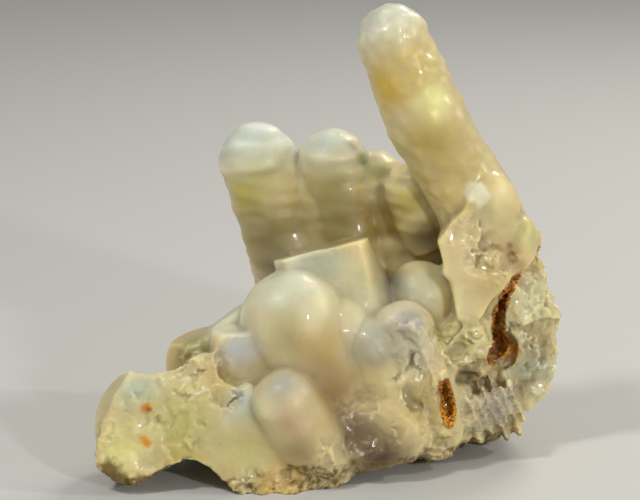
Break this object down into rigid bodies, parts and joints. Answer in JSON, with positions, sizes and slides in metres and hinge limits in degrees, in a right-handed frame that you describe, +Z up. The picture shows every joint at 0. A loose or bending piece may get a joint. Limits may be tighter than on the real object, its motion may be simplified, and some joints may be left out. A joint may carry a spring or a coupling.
{
  "type": "fossil bamboo agate specimen",
  "caption": "Stalactitic chalcedony specimen sold as fossil bamboo agate: round-ended translucent fingers leaning out of a broken crust, grown as one piece",
  "frame": {"origin": "middle of the bounding box in plan, at the level of the feet it stands on", "axes": "+Z up; -Y towards the side that the picture shows; +X to that side's right, where the tall finger is"},
  "size_m": [0.091, 0.056, 0.0894],
  "materials": {
    "chalcedony": "milky, waxy to glassy skin over rough broken crust"
  },
  "bodies": {
    "root": {"agate_specimen": "chalcedony"}
  },
  "joints": []
}
